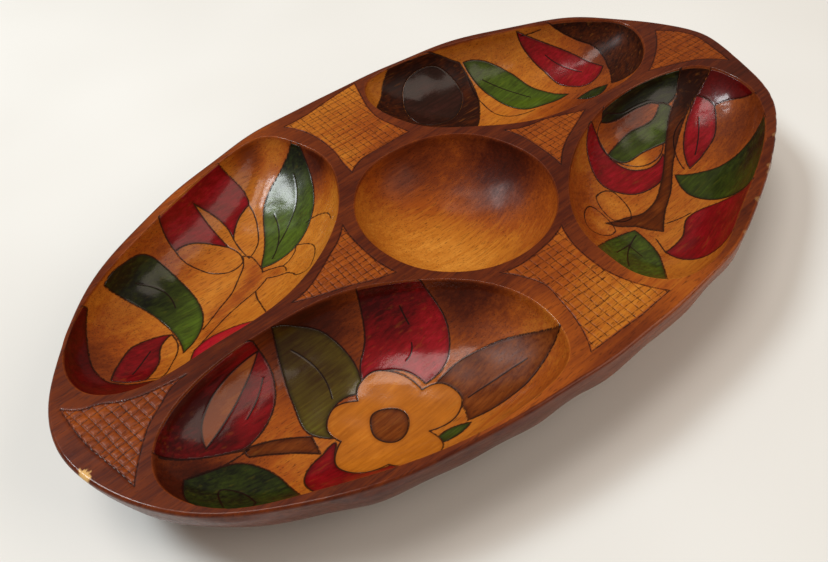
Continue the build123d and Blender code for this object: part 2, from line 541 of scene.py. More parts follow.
@dataclass(frozen=True)
class Grain:
    """Noise whose features have a size in millimetres along X, Y and Z, and cut through the solid as grain does."""

    size: tuple[float, float, float]
    detail: float
    bend: float = 0.0

    def lay(self, node: partial, place: Socket) -> Socket:
        """Lays the noise over places given in metres; its values are mostly NOISE_LOW to NOISE_HIGH."""
        spread = node("Mapping", {}, {0: place, 3: tuple(1 / (s * MM) for s in self.size)})
        return node("TexNoise", {}, {0: spread, "Scale": 1.0, "Detail": self.detail, "Distortion": self.bend})


NOISE_LOW, NOISE_HIGH = 0.3, 0.7
FIBRE = Grain((42.0, 1.5, 1.5), 5.0, 0.3)           # streaks of grain
BAND = Grain((150.0, 9.0, 12.0), 3.0, 0.9)          # broad bands of darker wood
PORES = Grain((4.5, 0.42, 0.42), 1.0)               # open pores, as coarse as they need to show
WOOD_MOTTLE = Grain((8.0, 6.0, 6.0), 3.0)           # uneven stain, and the ripple of the varnish on it
PAINT_MOTTLE = Grain((12.0, 9.0, 9.0), 4.0)         # uneven paint, and the ripple of the varnish on it
RUBS = Grain((14.0, 2.0, 2.0), 4.0)                 # where paint is rubbed thin along the grain
WANDER = Grain((1.6, 1.6, 1.6), 2.0)                # the uneven width of a burnt line
CLOUDS = Grain((260.0, 260.0, 260.0), 2.0)          # the table top's faint unevenness


@dataclass(frozen=True)
class Varnish:
    """Clear brushed varnish: its weight and blur, how rough the surface under it is, and how far pores open it."""

    weight: float
    blur: float
    rough: tuple[float, float]
    relief: float

    def lay(self, material: bpy.types.Material, colour: Socket, fibre: Socket, pores: Socket,
            mottle: Socket) -> None:
        """Sets the shader of a material under this varnish.

        Args:
            material: The material.
            colour: Its colour.
            fibre: Its streaks of grain.
            pores: Its open pores.
            mottle: The unevenness that ripples the varnish.
        """
        node = partial(add, material)
        rough = node("MapRange", {}, {0: fibre, 1: NOISE_LOW, 2: NOISE_HIGH, 3: self.rough[0], 4: self.rough[1]})
        height = node("Math", {"operation": "SUBTRACT"}, {0: fibre, 1: pores})
        grain = node("Bump", {}, {"Strength": self.relief, "Distance": 0.3 * MM, "Height": height})
        ripple = node("Bump", {}, {"Strength": 0.35, "Distance": 0.6 * MM, "Height": mottle})
        shader = material.node_tree.nodes["Principled BSDF"]
        for key, socket in (("Base Color", colour), ("Roughness", rough), ("Normal", grain),
                            ("Coat Normal", ripple)):
            material.node_tree.links.new(socket, shader.inputs[key])
        shader.inputs["IOR"].default_value = 1.5
        shader.inputs["Coat Weight"].default_value = self.weight
        shader.inputs["Coat Roughness"].default_value = self.blur
        shader.inputs["Coat IOR"].default_value = 1.5
        shader.inputs["Specular IOR Level"].default_value = 0.06


WOOD_VARNISH = Varnish(0.34, 0.15, (0.32, 0.45), 0.25)      # soft bright lights on the smooth carved wood
WORN_VARNISH = Varnish(0.12, 0.30, (0.32, 0.45), 0.25)      # a dull sheen where hands and hatching have worn it
PAINT_VARNISH = Varnish(0.40, 0.15, (0.28, 0.40), 0.20)     # the glossiest, over the paint
THIN_VARNISH = Varnish(0.08, 0.35, (0.28, 0.40), 0.20)      # next to none, over the umber stain


def new_material(name: str) -> bpy.types.Material:
    """A fresh material with a node tree.

    Args:
        name: What it is called.

    Returns:
        The material.
    """
    material = bpy.data.materials.new(name)
    material.use_nodes = True
    return material


@dataclass(frozen=True)
class StainedHardwood:
    """Tropical hardwood, carved with gouges, stained brown by hand and varnished.

    The stain is rubbed thin in places, so the wood goes from honey gold to near black; the tone read from the mesh
    also carries painted shade on the well walls and painted light and sheen in places. Long grain and short dark
    pores show through it, burnt cuts are almost black, and the brushed varnish gives a clear, slightly wavy gloss,
    or a dull one where it has worn.
    """

    name: str = "stained_varnished_hardwood"
    cut_half_width: float = 0.38
    varnish: Varnish = WOOD_VARNISH

    def make(self) -> bpy.types.Material:
        """Builds the material.

        Returns:
            The material, which reads tone, cut_mm and bare from the mesh.
        """
        material = new_material(self.name)
        node = partial(add, material)
        place = node("TexCoord", out="Object")
        fibre, band, mottle = (grain.lay(node, place) for grain in (FIBRE, BAND, WOOD_MOTTLE))
        pores = node("MapRange", SMOOTH, {0: PORES.lay(node, place), 1: 0.58, 2: 0.70, 4: 0.55})
        tone = node("Attribute", {"attribute_name": "tone"}, out="Fac")
        for noise, reach in ((fibre, 0.065), (band, 0.05), (mottle, 0.03)):
            part = node("MapRange", {}, {0: noise, 1: NOISE_LOW, 2: NOISE_HIGH, 3: -reach, 4: reach})
            tone = node("Math", {"operation": "ADD"}, {0: tone, 1: part})
        stops = [(0.0, "cc8834"), (0.20, "b06a20"), (0.40, "924814"), (0.58, "6e3010"), (0.78, "48190a"),
                 (1.0, "220a05")]
        colour = node("ValToRGB", {"stops": stops}, {0: tone})
        colour = node("Mix", RGB, {0: pores, 6: colour, 7: "2a0f08"}, 2)
        wander = node("MapRange", {}, {0: WANDER.lay(node, place), 1: NOISE_LOW, 2: NOISE_HIGH, 3: -0.15, 4: 0.15})
        cut = node("Attribute", {"attribute_name": "cut_mm"}, out="Fac")
        cut = node("Math", {"operation": "ADD"}, {0: cut, 1: wander})
        burnt = node("MapRange", SMOOTH, {0: cut, 1: self.cut_half_width - 0.2, 2: self.cut_half_width + 0.25,
                                          3: 0.93, 4: 0.0})
        colour = node("Mix", RGB, {0: burnt, 6: colour, 7: "1f0a06"}, 2)
        bare = node("Attribute", {"attribute_name": "bare"}, out="Fac")
        colour = node("Mix", RGB, {0: bare, 6: colour, 7: "d2a868"}, 2)
        self.varnish.lay(material, colour, fibre, pores, mottle)
        return material


@dataclass(frozen=True)
class TransparentPaint:
    """Thin transparent paint brushed into a carved outline, under the dish's varnish.

    The wood's grain shows through as darker streaks, the colour pools darker by the burnt outline, and small
    rubs let a little of the gold wood through.
    """

    name: str
    deep: str
    middle: str
    bright: str
    rub: str = "b06a22"
    rub_share: float = 0.10
    varnish: Varnish = PAINT_VARNISH

    def make(self) -> bpy.types.Material:
        """Builds the material.

        Returns:
            The material, which reads light, clear, edge_mm and cut_mm from the mesh.
        """
        material = new_material(self.name)
        node = partial(add, material)
        place = node("TexCoord", out="Object")
        fibre, mottle = FIBRE.lay(node, place), PAINT_MOTTLE.lay(node, place)
        pores = node("MapRange", SMOOTH, {0: PORES.lay(node, place), 1: 0.60, 2: 0.70, 4: 0.4})
        clear = node("Attribute", {"attribute_name": "clear"}, out="Fac")
        # The light value sets how bright the paint is; a motif's fade patch lowers it as painted shade.
        level = node("Attribute", {"attribute_name": "light"}, out="Fac")
        for noise, reach in ((fibre, 0.13), (mottle, 0.10)):
            part = node("MapRange", {}, {0: noise, 1: NOISE_LOW, 2: NOISE_HIGH, 3: -reach, 4: reach})
            level = node("Math", {"operation": "ADD"}, {0: level, 1: part})
        stops = [(0.1, self.deep), (0.5, self.middle), (0.9, self.bright)]
        colour = node("ValToRGB", {"stops": stops}, {0: level})
        colour = node("Mix", RGB, {0: pores, 6: colour, 7: self.deep}, 2)
        rubs = node("MapRange", SMOOTH, {0: RUBS.lay(node, place), 1: 0.58, 2: 0.72, 4: self.rub_share})
        colour = node("Mix", RGB, {0: rubs, 6: colour, 7: self.rub}, 2)
        gold = node("ValToRGB", {"stops": [(0.2, "7a3a14"), (0.8, "b06a2a")]}, {0: level})
        colour = node("Mix", RGB, {0: clear, 6: colour, 7: gold}, 2)
        edge = node("Attribute", {"attribute_name": "edge_mm"}, out="Fac")
        pooled = node("MapRange", SMOOTH, {0: edge, 1: 0.3, 2: 2.4, 3: 0.5, 4: 0.0})
        colour = node("Mix", RGB, {0: pooled, 6: colour, 7: self.deep}, 2)
        cut = node("Attribute", {"attribute_name": "cut_mm"}, out="Fac")
        burnt = node("MapRange", SMOOTH, {0: cut, 1: 0.22, 2: 0.55, 3: 0.92, 4: 0.0})
        colour = node("Mix", RGB, {0: burnt, 6: colour, 7: "170706"}, 2)
        self.varnish.lay(material, colour, fibre, pores, mottle)
        return material


# Each paint as the eye meets it: red glows rose in the light and sinks to wine in the grain, maroon is almost black
# in the shade, green is olive over the wood, gold warms it, umber is thin and dull, and the black-brown hides it.
PAINTS: dict[Paint, TransparentPaint] = {
    Paint.RED: TransparentPaint("crimson_paint_varnished", "3a0305", "780910", "a41224"),
    Paint.DARK_RED: TransparentPaint("maroon_paint_varnished", "2a0202", "520404", "6e0a08", rub_share=0.0),
    Paint.GREEN: TransparentPaint("leaf_green_paint_varnished", "10140a", "2f3a0e", "4d6417", "7a6a1c"),
    Paint.YELLOW: TransparentPaint("golden_tint_varnished", "8a4a10", "b0661a", "cc8632", "d8983e"),
    Paint.BROWN: TransparentPaint("umber_stain_varnished", "26100a", "58260a", "824416", "86501e", 0.30,
                                  THIN_VARNISH),
    Paint.BLACK: TransparentPaint("black_brown_stain_varnished", "120806", "28120b", "44201a", "4a2a1c"),
}


@dataclass(frozen=True)
class TableTop:
    """A matt painted white table: even, with the faintest cloudiness."""

    name: str = "white_painted_table"
    colour: str = "e6e9e7"
    cloud: str = "dfe1de"

    def make(self) -> bpy.types.Material:
        """Builds the material.

        Returns:
            The material.
        """
        material = new_material(self.name)
        node = partial(add, material)
        place = node("TexCoord", out="Object")
        cloud = node("MapRange", SMOOTH, {0: CLOUDS.lay(node, place), 1: NOISE_LOW, 2: NOISE_HIGH})
        colour = node("Mix", RGB, {0: cloud, 6: self.colour, 7: self.cloud}, 2)
        shader = material.node_tree.nodes["Principled BSDF"]
        material.node_tree.links.new(colour, shader.inputs["Base Color"])
        shader.inputs["Roughness"].default_value = 0.85
        shader.inputs["Specular IOR Level"].default_value = 0.15
        return material


# ---------------------------------------------------------------- wells


@dataclass
class Motif:
    """One painted area: its outline in the plan, its paint, and what is painted over it."""

    name: str
    paint: Paint
    edges: Edges
    over: list[str] = field(default_factory=list)
    light: float = 0.5
    # A patch where the paint is painted darker: painted shade on the well's wall.
    fade: Spot | None = None
    unpainted: Edges | None = None
    thin: float = 0.0


@dataclass
class Well:
    """A carved hollow with a rounded lip, and the motifs and burnt lines in it."""

    name: str
    centre: Point
    outline: list[Point]
    depth: float
    tone: float
    spots: list[Spot] = field(default_factory=list)
    motifs: list[Motif] = field(default_factory=list)
    lines: list[list[Point]] = field(default_factory=list)
    rings: int = 170
    columns: int = 680
    line_depth: float = 0.12
    line_half_width: float = 0.60

    def __post_init__(self) -> None:
        """Tabulates how far the outline is from the centre in each direction."""
        away = closed_curve(self.outline, 1440) - np.array(self.centre, float)
        self.table = by_direction(away)

    def reach(self, xy: Array) -> tuple[Array, Array]:
        """Distance of each point from the centre, and the outline's distance in the same direction."""
        away = xy[:, :2] - np.array(self.centre, float)
        return np.hypot(away[:, 0], away[:, 1]), np.interp(np.arctan2(away[:, 1], away[:, 0]), *self.table)

    def past_lip(self, xy: Array) -> Array:
        """How far outside the rounded lip each point of the plan is; below 0 inside it."""
        r, reach = self.reach(xy)
        return r - reach - LIP_WIDTH

    def below_rim(self, share: Array | float) -> Array:
        """Depth below the rim at a share of the way from the centre to the outline."""
        return self.depth * (1 - share**BOWL_POWER) ** WALL_POWER

    def height(self, xy: Array) -> Array:
        """Height of the well's surface at each point of the plan.

        Args:
            xy: Points of the plan, in the well or on its rounded lip.

        Returns:
            One height for each point.
        """
        r, reach = self.reach(xy)
        floor = self.below_rim(np.minimum(r / reach, LIP_SHARE))
        drop, step = self.below_rim(LIP_SHARE), 1e-4
        slope = (drop - self.below_rim(LIP_SHARE - step)) / step / reach
        width = (1 - LIP_SHARE) * reach + LIP_WIDTH
        t = np.clip((r - LIP_SHARE * reach) / width, 0, 1)
        lip = drop * (2 * t**3 - 3 * t**2 + 1) + (t**3 - 2 * t**2 + t) * width * slope
        depth = np.where(r < LIP_SHARE * reach, floor, lip)
        tooled = GOUGE_WAVES.at(xy[:, :2]) * smoothstep(depth, 1, 6)
        return RIM_HEIGHT - depth + LAND_WAVES.at(xy[:, :2]) + tooled

    def drape(self, path: Array) -> Array:
        """A path of the plan laid on the well's surface, in space."""
        return np.column_stack([path, self.height(path)])

    def grid(self) -> tuple[Array, Array]:
        """The well's smooth surface, before the burnt lines are cut.

        Returns:
            Points in space, ring by ring from the middle, and three point numbers for each triangle.
        """
        fine = np.linspace(0, LIP_SHARE, 4000)
        rise = np.hypot(np.diff(fine) * np.median(self.table[1]), np.diff(self.below_rim(fine)))
        length = np.concatenate([[0], np.cumsum(rise)])
        shares = np.interp(np.linspace(0.6, length[-1], self.rings), length, fine)
        turn = np.linspace(-math.pi, math.pi, self.columns, endpoint=False)
        reach = np.interp(turn, *self.table)
        start, end = LIP_SHARE * reach, reach + LIP_WIDTH
        radii = [share * reach for share in shares] + [start + (end - start) * t for t in np.linspace(0.12, 1, 8)]
        radii.append(end + TUCK)
        xy = np.vstack([np.column_stack([r * np.cos(turn), r * np.sin(turn)]) for r in radii] + [np.zeros((1, 2))])
        xy += np.array(self.centre, float)
        points = self.drape(xy)
        points[-self.columns - 1:-1, 2] -= TUCK_DROP
        ring = np.arange(self.columns)
        hub = np.stack([np.full(self.columns, len(points) - 1), ring, np.roll(ring, -1)], 1)
        return points, np.vstack([hub, ring_faces(len(radii), self.columns)])

    def build(self, lands: "Lands", wood: bpy.types.Material, paints: dict[Paint, bpy.types.Material]) -> None:
        """Makes the well's surface, in a floor and a wall, and a film for each motif.

        Args:
            lands: The lands round the well, for the tone of its lip.
            wood: The finish of the bare surface.
            paints: The finish of each paint.
        """
        points, triangles = self.grid()
        normal = corner_normals(points, triangles)
        inner, cut = self.borders(points)
        groove = np.clip(1 - cut / self.line_half_width, 0, 1)
        points = points - normal * (self.line_depth * groove)[:, None]
        # Tone from the well's stain and its spots, which paint shade on the walls and, in places, light on the
        # floor.
        tone = stain(points[:, :2], self.tone, self.spots)
        lip = smoothstep(RIM_HEIGHT - points[:, 2], 0.1, 1.8)
        tone = tone * lip + (1 - lip) * (lands.tone_at(points[:, :2]) - 0.12)
        half = self.columns + self.columns * self.rings
        for part, rows in (("floor", triangles[:half]), ("wall", triangles[half:])):
            used, compact = np.unique(rows, return_inverse=True)
            values = {"tone": tone[used], "cut_mm": cut[used], "bare": np.zeros(len(used))}
            piece = make_piece(f"{self.name}_well_{part}", points[used], compact.reshape(-1, 3), wood, values)
        for motif in self.motifs:
            self.film(motif, points, normal, triangles, cut, inner[motif.name], paints[motif.paint])

    def borders(self, points: Array) -> tuple[dict[str, Array], Array]:
        """How the well's points lie to its motifs and burnt lines.

        Args:
            points: The well's points, before the lines are cut.

        Returns:
            How far inside each motif each point is (below 0 outside it), and its distance to the nearest line.
        """
        inner, cut = {}, np.full(len(points), FAR)
        for motif in self.motifs:
            path = closed_path(motif.edges)
            gap = distance_to(points, self.drape(path))
            inner[motif.name] = np.where(inside(points[:, :2], path), gap, -gap)
        for motif in self.motifs:
            gap = np.abs(inner[motif.name])
            for other in motif.over:
                gap = np.where(inner[other] > 0, FAR, gap)
                inner[motif.name] = np.minimum(inner[motif.name], -inner[other])
            cut = np.minimum(cut, gap)
        for line in self.lines:
            cut = np.minimum(cut, distance_to(points, self.drape(smooth_path(line))))
        return inner, cut

    def film(self, motif: Motif, points: Array, normal: Array, triangles: Array, cut: Array, inner: Array,
             paint: bpy.types.Material) -> None:
        """Makes one painted film on the well's surface.

        Args:
            motif: The painted area.
            points: The well's points.
            normal: Their normals.
            triangles: The well's triangles.
            cut: Distance of each point to the nearest burnt line.
            inner: How far inside the area's outline each point is.
            paint: The film's finish.
        """
        height = np.minimum(inner - FILM_INSET, RIM_HEIGHT - FILM_TOP - points[:, 2])
        table = np.column_stack([points, normal, cut, np.clip(inner, 0, FAR)])
        table, patch = cut_along(table, triangles, height)
        table, closed = close_film(table, patch, FILM_LIFT, FILM_THICKNESS)
        light = np.full(len(table), motif.light)
        # Painted shade: the paint is darker where the motif's fade patch lies.
        if motif.fade:
            light = stain(table[:, :2], motif.light, [motif.fade])
        clear = np.full(len(table), motif.thin)
        if motif.unpainted:
            path = closed_path(motif.unpainted)
            gap = distance_to(table[:, :2], path)
            clear = np.where(inside(table[:, :2], path), smoothstep(gap, 0.0, 0.6), clear)
        values = {"cut_mm": np.maximum(table[:, 6], 0), "edge_mm": table[:, 7], "light": light, "clear": clear}
        node = f"{self.name}_{motif.name}"
        piece = make_piece(node + "_film", table[:, :3], closed, paint, values)
        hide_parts(node)


# ---------------------------------------------------------------- lands and wall


@dataclass
class HatchPanel:
    """A panel of the land cut with two crossing sets of V-shaped grooves."""

    name: str
    edges: Edges
    tone: float = 0.50
    spots: list[Spot] = field(default_factory=list)
    pitch: float = 4.2
    turn: float = -3.0
    groove_half_width: float = 0.70
    groove_depth: float = 0.22
    seed: int = 1
    cell: float = 0.30
    grooves_each_way: int = 12
    tilt: float = 1.8           # a groove's direction strays by up to this many degrees
    stray: float = 0.15         # and its place by up to this share of the pitch
    bow: float = 0.12           # and it bends by this much

    def inner(self, xy: Array) -> Array:
        """How far inside the panel's outline each point of the plan is.

        Args:
            xy: Points of the plan.

        Returns:
            One distance for each point, below 0 outside the outline.
        """
        path = closed_path(self.edges)
        border = distance_to(xy, path)
        return np.where(inside(xy, path), border, -border)

    def nearest_groove(self, xy: Array) -> Array:
        """Distance to the nearest of the panel's crossing grooves at each point of the plan.

        Args:
            xy: Points of the plan.

        Returns:
            One distance for each point, up to FAR.
        """
        rng = np.random.default_rng(self.seed)
        nearest = np.full(len(xy), FAR)
        away = xy - closed_path(self.edges).mean(0)
        for quarter in (0, 90):
            for k in range(-self.grooves_each_way, self.grooves_each_way + 1):
                angle = math.radians(self.turn + quarter + rng.uniform(-self.tilt, self.tilt))
                offset = self.pitch * (k + rng.uniform(-self.stray, self.stray))
                bend = self.bow * np.sin(away @ np.array([0.31, 0.27]) + rng.uniform(0, math.tau))
                gap = np.abs(-away[:, 0] * math.sin(angle) + away[:, 1] * math.cos(angle) - offset + bend)
                nearest = np.minimum(nearest, gap)
        return nearest

    def build(self, lands: "Lands", wood: bpy.types.Material) -> None:
        """Makes the panel.

        Args:
            lands: The lands round the panel, for their tone.
            wood: The finish.
        """
        path = closed_path(self.edges)
        xy, triangles = plan_grid(path.min(0) - 1, path.max(0) + 1, self.cell)
        table, triangles = cut_along(xy, triangles, self.inner(xy))
        inner, groove = self.inner(table), self.nearest_groove(table)
        within = smoothstep(inner, 0.1, 1.0)
        valley = np.clip(1 - groove / self.groove_half_width, 0, 1) * within
        crown = 0.10 * smoothstep(groove, 0.0, 2.2)
        drop = np.maximum(self.groove_depth * valley, lands.border_depth * np.clip(1 - inner / 0.6, 0, 1))
        points = np.column_stack([table, RIM_HEIGHT + LAND_WAVES.at(table) - drop + crown * within])
        tone = lands.tone_at(table) * (1 - within) + stain(table, self.tone, self.spots) * within
        cut = np.minimum(np.where(inner > 0.4, groove + 0.26, FAR), inner + 0.22)
        piece = make_piece(f"hatched_land_{self.name}", points, triangles, wood,
                           {"tone": tone, "cut_mm": cut, "bare": np.zeros(len(points))})


@dataclass
class Lands:
    """The flat wood between the wells and round the rim, with its hatched panels."""

    panels: list[HatchPanel]
    spots: list[Spot]
    lines: list[list[Point]] = field(default_factory=list)
    tone: float = 0.73
    cell: float = 0.55
    border_depth: float = 0.30

    def tone_at(self, xy: Array) -> Array:
        """Tone of the land at each point of the plan: its stain, with painted sheen along the near rim."""
        return stain(xy, self.tone, self.spots)

    def build(self, rim: "RimWall", wells: list[Well], wood: bpy.types.Material,
              hatched: bpy.types.Material) -> None:
        """Makes the lands and their panels.

        Args:
            rim: The dish's wall, for its outline.
            wells: The wells that the lands go round.
            wood: The finish.
            hatched: The finish of the hatched panels, whose varnish has worn.
        """
        corner = np.array(RIM, float).max(0) + 3
        xy, triangles = plan_grid(-corner, corner, self.cell)
        height = rim.inside_edge(xy)
        for well in wells:
            height = np.minimum(height, well.past_lip(xy))
        inner = np.full(len(xy), -FAR)
        for panel in self.panels:
            inner = np.maximum(inner, panel.inner(xy))
        table, triangles = cut_along(np.column_stack([xy, inner]), triangles, np.minimum(height, 0.2 - inner))
        xy, inner = table[:, :2], np.abs(table[:, 2])
        cut = inner + 0.15
        for line in self.lines:
            cut = np.minimum(cut, distance_to(xy, smooth_path(line)) + 0.1)
        z = RIM_HEIGHT + LAND_WAVES.at(xy) - self.border_depth * np.clip(1 - cut / 0.7, 0, 1)
        points = np.column_stack([xy, z])
        piece = make_piece("dish_lands", points, triangles, wood,
                           {"tone": self.tone_at(xy), "cut_mm": cut, "bare": rim.bare_at(points)})
        for panel in self.panels:
            panel.build(self, hatched)


@dataclass
class RimWall:
    """The outside of the dish: the worn rim edge, the wall that turns under, and the foot."""

    outline: list[Point]
    tone: float = 0.69
    spots: list[Spot] = field(default_factory=list)
    cracks: list[list[tuple[float, float, float]]] = field(default_factory=list)
    columns: int = 1000
    chip: tuple[float, float, float] = (-208.0, -15.0, 3.4)

    def __post_init__(self) -> None:
        """Tabulates how far the rim is from the middle in each direction."""
        self.table = by_direction(closed_curve(self.outline, 2400))

    def ragged(self, turn: Array) -> Array:
        """How deeply the rim's edge is nicked in each direction."""
        nicks = np.sin(turn * 61) * np.sin(turn * 23 + 1) + 0.5 * np.sin(turn * 151 + 2)
        return np.exp(-((turn + 0.62) / 0.45) ** 2) * np.clip(nicks, 0, 1.2)

    def reach(self, turn: Array) -> Array:
        """Distance from the middle to the rim in each direction, with its small nicks."""
        return np.interp(turn, *self.table) + 0.2 * np.sin(turn * 17) - 0.35 * self.ragged(turn)

    def inside_edge(self, xy: Array) -> Array:
        """How far inside the rim's rounded edge each point of the plan is."""
        turn = np.arctan2(xy[:, 1], xy[:, 0])
        return self.reach(turn) - EDGE_ROUND - np.hypot(xy[:, 0], xy[:, 1])

    def bare_at(self, points: Array) -> Array:
        """How bare the wood is at each point, where the edge is chipped or nicked.

        Args:
            points: Points in space, on the wall or the rim.

        Returns:
            One share for each point, 0 where it is varnished.
        """
        x, y, size = self.chip
        away = np.hypot(points[:, 0] - x, points[:, 1] - y) + Wobble(SEED + 5, 2.2, 0.7).at(points[:, :2])
        chip = 1 - smoothstep(away, size - 0.4, size + 0.1)
        turn = np.arctan2(points[:, 1], points[:, 0])
        gap = np.abs(self.reach(turn) - np.hypot(points[:, 0], points[:, 1])) + np.clip(47 - points[:, 2], 0, 9)
        nicked = smoothstep(self.ragged(turn) - 0.35 * gap, 0.15, 0.45)
        return np.maximum(chip, 0.22 * nicked)

    def build(self, wood: bpy.types.Material) -> None:
        """Makes the wall and foot.

        Args:
            wood: The finish.
        """
        turn = np.linspace(-math.pi, math.pi, self.columns, endpoint=False)
        reach = self.reach(turn)
        rows = [(reach - EDGE_ROUND - 0.7, RIM_HEIGHT - 0.06)]
        for angle in np.radians(EDGE_TURNS):
            inward, down = EDGE_ROUND * (1 - math.cos(angle)), EDGE_ROUND * (1 - math.sin(angle))
            rows.append((reach - inward, RIM_HEIGHT - down))
        profile = open_curve([(share * 100, z) for z, share in reversed(HULL_SECTIONS)], 76)
        rows += [(reach * share / 100, z) for share, z in profile]
        rows += [(reach * share, 0.0) for share in FOOT_RINGS]
        points = np.vstack([np.column_stack([r * np.cos(turn), r * np.sin(turn), np.full(self.columns, z)])
                            for r, z in rows] + [np.zeros((1, 3))])
        top = smoothstep(points[:, 2], RIM_HEIGHT - 6, RIM_HEIGHT - 1)
        dent = HULL_WAVES.at(points) * smoothstep(points[:, 2], 1.0, 8.0) * (1 - top)
        outward = points[:, :2] / np.maximum(np.linalg.norm(points[:, :2], axis=1), 1e-9)[:, None]
        points[:, :2] += outward * dent[:, None]
        points[:, 2] += LAND_WAVES.at(points[:, :2]) * top
        ring = np.arange(self.columns) + self.columns * (len(rows) - 1)
        hub = np.stack([np.full(self.columns, len(points) - 1), np.roll(ring, -1), ring], 1)
        triangles = np.vstack([ring_faces(len(rows), self.columns), hub])
        cut = np.full(len(points), FAR)
        for crack in self.cracks:
            cut = np.minimum(cut, distance_to(points, np.array(crack, float)) + 0.25)
        piece = make_piece("dish_wall_and_foot", points, triangles, wood,
                           {"tone": stain(points[:, :2], self.tone, self.spots), "cut_mm": cut,
                            "bare": self.bare_at(points)})
        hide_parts("dish")


# ---------------------------------------------------------------- this dish

LONG_DEPTH = 30.0       # of the four long wells
ROUND_DEPTH = 29.0
ROUND_RADIUS = 50.0
ROUND_POINTS = [(ROUND_RADIUS * math.cos(a), ROUND_RADIUS * math.sin(a)) for a in np.arange(12) * math.tau / 12]


def left_well() -> Well:
    """The well at the far side of the -X end: a tulip, a bud and two leaves.

    Returns:
        The well, with its motifs, burnt lines, stain and painted shade.
    """
    motifs = [
        Motif("tulip_red", Paint.RED, [
            [(-87, 94), (-86, 81)], [(-77, 89), (-67, 93)], [(-65, 100), (-71, 109)], [(-89, 107), (-109, 98)],
            [(-116, 92), (-116, 85)], [(-104, 86), (-91, 78)], [(-92, 88), (-94, 99)]], light=0.55),
        Motif("tall_leaf_green", Paint.GREEN, [
            [(-38, 95), (-58, 89), (-78, 64), (-87, 54)], [(-70, 50), (-47, 60), (-34, 79), (-30, 96)]],
            light=0.7, fade=Spot(-32, 92, 16, -0.6)),
        Motif("low_leaf_green", Paint.GREEN, [
            [(-145, 80), (-128, 84), (-122, 68), (-125, 49), (-145, 31)], [(-142, 51), (-146, 65), (-156, 74)]],
            light=0.75, fade=Spot(-146, 76, 24, -0.65)),
        Motif("corner_dark_red", Paint.DARK_RED, [
            [(-177, 53), (-181, 39), (-179, 31)], [(-172, 25), (-160, 18), (-152, 3)], [(-185, -2), (-205, 30)],
            [(-190, 58), (-168, 66)]], over=["bud_red"], light=0.45),
        Motif("bud_red", Paint.RED, [
            [(-171, 41), (-159, 49), (-143, 47)], [(-150, 43), (-157, 32), (-166, 24)], [(-172, 27), (-178, 32)]],
            light=0.35),
        Motif("foot_strip_red", Paint.RED, [
            [(-134, 31), (-125, 30), (-114, 24), (-106, 6)], [(-120, 0), (-152, 3)], [(-148, 17), (-141, 28)]],
            light=0.85),
    ]
    lines = [
        [(-116, 85), (-115, 80), (-111, 74), (-106, 68), (-99, 64), (-91, 65)], [(-91, 65), (-89, 71), (-91, 78)],
        [(-67, 93), (-69, 85), (-73, 77), (-78, 70), (-87, 65)], [(-87, 65), (-87, 73), (-86, 81)],
        [(-89, 68), (-92, 63), (-99, 57), (-107, 51), (-118, 46), (-130, 40)],
        [(-89, 45), (-98, 42), (-108, 41), (-120, 38), (-127, 35), (-136, 31)],
        [(-89, 69), (-86, 65), (-86, 59), (-87, 53), (-88, 51)], [(-88, 51), (-82, 48), (-79, 45), (-80, 40)],
        [(-89, 45), (-85, 41), (-81, 38), (-80, 31)], [(-79, 45), (-72, 46), (-66, 51)],
        [(-66, 51), (-62, 40), (-65, 34), (-71, 28)], [(-71, 28), (-75, 26), (-80, 31)],
        [(-54, 58), (-48, 54), (-46, 48), (-48, 42)], [(-98, 42), (-100, 38), (-102, 30), (-104, 22)],
        [(-143, 47), (-144, 39), (-152, 28), (-161, 21), (-165, 24)],
        [(-40, 86), (-48, 74), (-62, 65), (-72, 60)], [(-61, 78), (-66, 67), (-79, 55)],
        [(-142, 76), (-133, 71), (-133, 61)], [(-156, 42), (-169, 32)],
    ]
    outline = [
        (-190, 40), (-176, 60), (-142, 82), (-100, 99), (-58, 111), (-42, 110), (-32, 94), (-28, 74), (-36, 50),
        (-60, 24), (-97, 7), (-140, 5), (-176, 9), (-190, 22)]
    # Painted shade: the darker patches on the walls by the round well, at the -X end, along the far side and under
    # the far lip. The small patches darken the wood along the stems, and the last lightens the floor a little.
    spots = [
        Spot(-26, 78, 18, 0.65), Spot(-185, 40, 26, 0.40), Spot(-128, 88, 20, 0.18), Spot(-52, 112, 9, 0.35),
        Spot(-89, 57, 6, 0.18), Spot(-96, 49, 6, 0.20), Spot(-107, 46, 6, 0.20), Spot(-119, 42, 6, 0.20),
        Spot(-130, 36, 6, 0.18), Spot(-83, 44, 4, 0.16), Spot(-60, 45, 24, -0.06)]
    return Well("left", (-108, 58), outline, LONG_DEPTH, 0.22, spots, motifs, lines)


